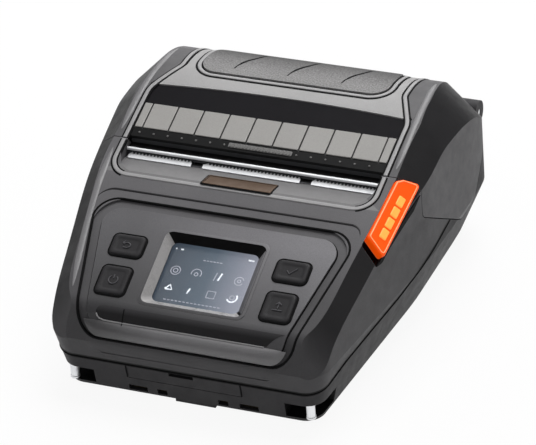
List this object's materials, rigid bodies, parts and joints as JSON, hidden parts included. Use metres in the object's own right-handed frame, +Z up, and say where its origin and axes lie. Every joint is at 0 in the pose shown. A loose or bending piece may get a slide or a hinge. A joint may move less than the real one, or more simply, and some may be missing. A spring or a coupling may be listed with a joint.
{
  "type": "label printer",
  "caption": "Portable label printer with slanted shoulders, a sloping control panel with a recessed screen and keys, an open label mouth, a rear hinged lid and an orange latch lever.",
  "frame": {"origin": "on the ground under the middle of the body", "axes": "+X is the object's right, the front with the keys faces -Y, +Z is up"},
  "size_m": [0.154, 0.1779, 0.082],
  "materials": {
    "shell_dark": "fine textured dark grey",
    "lid_dark": "fine textured dark grey, a little lighter",
    "lower_dark": "fine textured near black",
    "panel_dark": "satin near black",
    "key_grey": "soft matt grey",
    "lever_orange": "satin orange",
    "lens_clear": "clear window over a lit screen",
    "screen": "lit grey blue",
    "pad_grey": "ribbed matt grey",
    "window_smoke": "smoked",
    "ramp_grey": "light grey tiles",
    "metal_bright": "brushed",
    "metal_plate": "plain sheet",
    "gold_contact": "plated",
    "platen_black": "smooth",
    "gear_white": "moulded off white",
    "foot_black": "matt",
    "board_green": "solder mask",
    "battery_black": "textured",
    "bay_grey": "plain dark grey",
    "guide_blue": "plain blue grey"
  },
  "bodies": {
    "case": {"upper_case": "shell_dark", "control_panel": "panel_dark", "panel_lens": "lens_clear", "display_module": "screen", "key_board": "board_green", "lower_case": "lower_dark", "rubber_feet": "foot_black", "case_screws": "metal_bright", "strap_pins": "metal_bright", "dock_contacts": "gold_contact", "main_board": "board_green", "sockets": "metal_bright", "roll_bay": "bay_grey", "stepper_motor": "metal_plate", "drive_bracket": "metal_plate", "print_head": "gear_white", "head_heat_sink": "metal_plate", "head_bracket": "metal_plate", "head_springs": "metal_bright", "tear_bar": "metal_bright", "hinge_pin": "metal_bright", "mark_sensor": "platen_black"},
    "lid": {"lid_shell": "lid_dark", "lid_cover": "lid_dark", "grip_pad": "pad_grey", "lid_frame": "bay_grey", "exit_ramp": "ramp_grey", "guard_bar": "lid_dark", "edge_bar": "metal_bright", "media_window": "window_smoke", "platen_bushes": "gear_white", "gap_sensor": "platen_black"},
    "platen": {"platen_rubber": "platen_black", "platen_shaft": "metal_bright", "platen_gear": "gear_white"},
    "idler": {"idler_gear": "gear_white"},
    "rotor": {"motor_pinion": "gold_contact", "motor_shaft": "metal_bright"},
    "back_key": {"key_back": "key_grey"},
    "power_key": {"key_power": "key_grey"},
    "enter_key": {"key_enter": "key_grey"},
    "feed_key": {"key_feed": "key_grey"},
    "lever": {"latch_lever": "lever_orange"},
    "latch": {"latch_bar": "metal_bright"},
    "guide_left": {"media_guide_left": "guide_blue"},
    "guide_right": {"media_guide_right": "guide_blue"},
    "guide_gear": {"guide_pinion": "gear_white"},
    "battery": {"battery_pack": "battery_black"},
    "door": {"socket_door": "lower_dark"}
  },
  "joints": [
    {"name": "lid_hinge", "type": "hinge", "parent": "case", "child": "lid", "pos_m": [0, 0.0832, 0.0545], "axis": [-1, 0, 0], "range_deg": [0, 90]},
    {"name": "platen_spin", "type": "hinge", "parent": "lid", "child": "platen", "pos_m": [0, 0.0056, 0.0575], "axis": [1, 0, 0], "continuous": true},
    {"name": "idler_spin", "type": "hinge", "parent": "case", "child": "idler", "pos_m": [-0.0635, 0.00521, 0.04738], "axis": [1, 0, 0], "continuous": true},
    {"name": "rotor_spin", "type": "hinge", "parent": "case", "child": "rotor", "pos_m": [-0.0635, -0.01325, 0.04413], "axis": [1, 0, 0], "continuous": true},
    {"name": "back_key_press", "type": "slide", "parent": "case", "child": "back_key", "axis": [0, 0.3746, -0.9272], "range_m": [0, 0.0006], "stiffness_N_per_m": 600},
    {"name": "power_key_press", "type": "slide", "parent": "case", "child": "power_key", "axis": [0, 0.3746, -0.9272], "range_m": [0, 0.0006], "stiffness_N_per_m": 600},
    {"name": "enter_key_press", "type": "slide", "parent": "case", "child": "enter_key", "axis": [0, 0.3746, -0.9272], "range_m": [0, 0.0006], "stiffness_N_per_m": 600},
    {"name": "feed_key_press", "type": "slide", "parent": "case", "child": "feed_key", "axis": [0, 0.3746, -0.9272], "range_m": [0, 0.0006], "stiffness_N_per_m": 600},
    {"name": "lever_slide", "type": "slide", "parent": "case", "child": "lever", "axis": [-0.0731, -0.9516, -0.2985], "range_m": [0, 0.004], "stiffness_N_per_m": 300},
    {"name": "latch_turn", "type": "hinge", "parent": "case", "child": "latch", "pos_m": [0, -0.009, 0.031], "axis": [1, 0, 0], "range_deg": [0, 20.1]},
    {"name": "left_guide_slide", "type": "slide", "parent": "case", "child": "guide_left", "axis": [1, 0, 0], "range_m": [0, 0.03]},
    {"name": "right_guide_slide", "type": "slide", "parent": "case", "child": "guide_right", "axis": [-1, 0, 0], "range_m": [0, 0.0301]},
    {"name": "guide_gear_turn", "type": "hinge", "parent": "case", "child": "guide_gear", "pos_m": [0, 0.0003, 0.0305], "axis": [0, 1, 0], "range_deg": [0, 358.3]},
    {"name": "battery_slide", "type": "slide", "parent": "case", "child": "battery", "axis": [0, 1, 0], "range_m": [0, 0.06]},
    {"name": "door_hinge", "type": "hinge", "parent": "case", "child": "door", "pos_m": [0, -0.0861, 0.0099], "axis": [1, 0, 0], "range_deg": [0, 100]}
  ],
  "couplings": [
    {"joint": "idler_spin", "follows": "platen_spin", "ratio": -1.4545},
    {"joint": "rotor_spin", "follows": "platen_spin", "ratio": 5.8182},
    {"joint": "latch_turn", "follows": "lever_slide", "rad_per_m": 87},
    {"joint": "right_guide_slide", "follows": "left_guide_slide", "ratio": 1},
    {"joint": "guide_gear_turn", "follows": "left_guide_slide", "rad_per_m": 208.33}
  ]
}
